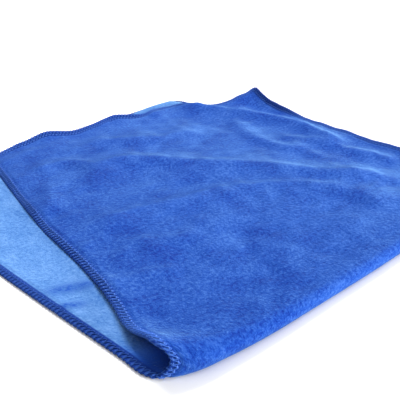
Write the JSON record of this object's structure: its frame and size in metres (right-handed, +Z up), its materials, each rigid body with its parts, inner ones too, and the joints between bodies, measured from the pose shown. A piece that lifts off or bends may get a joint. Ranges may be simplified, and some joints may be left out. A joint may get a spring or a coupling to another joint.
{
  "type": "microfibre cloth",
  "caption": "Rectangular two-faced microfibre cloth, overlocked all round, folded once and lying loosely with soft ridges and one corner turned up.",
  "frame": {"origin": "centre of the cloth's box, on the surface that it lies on", "axes": "+X along the fold from its open end, +Y from the fold to the far hems, +Z up"},
  "size_m": [0.362, 0.3556, 0.0222],
  "materials": {
    "cloth": "short brushed royal blue pile on the outer face, light azure pile on the inner face, matt with a soft sheen, dark blue overlocked edge"
  },
  "bodies": {
    "root": {"cloth": "cloth"}
  },
  "joints": []
}
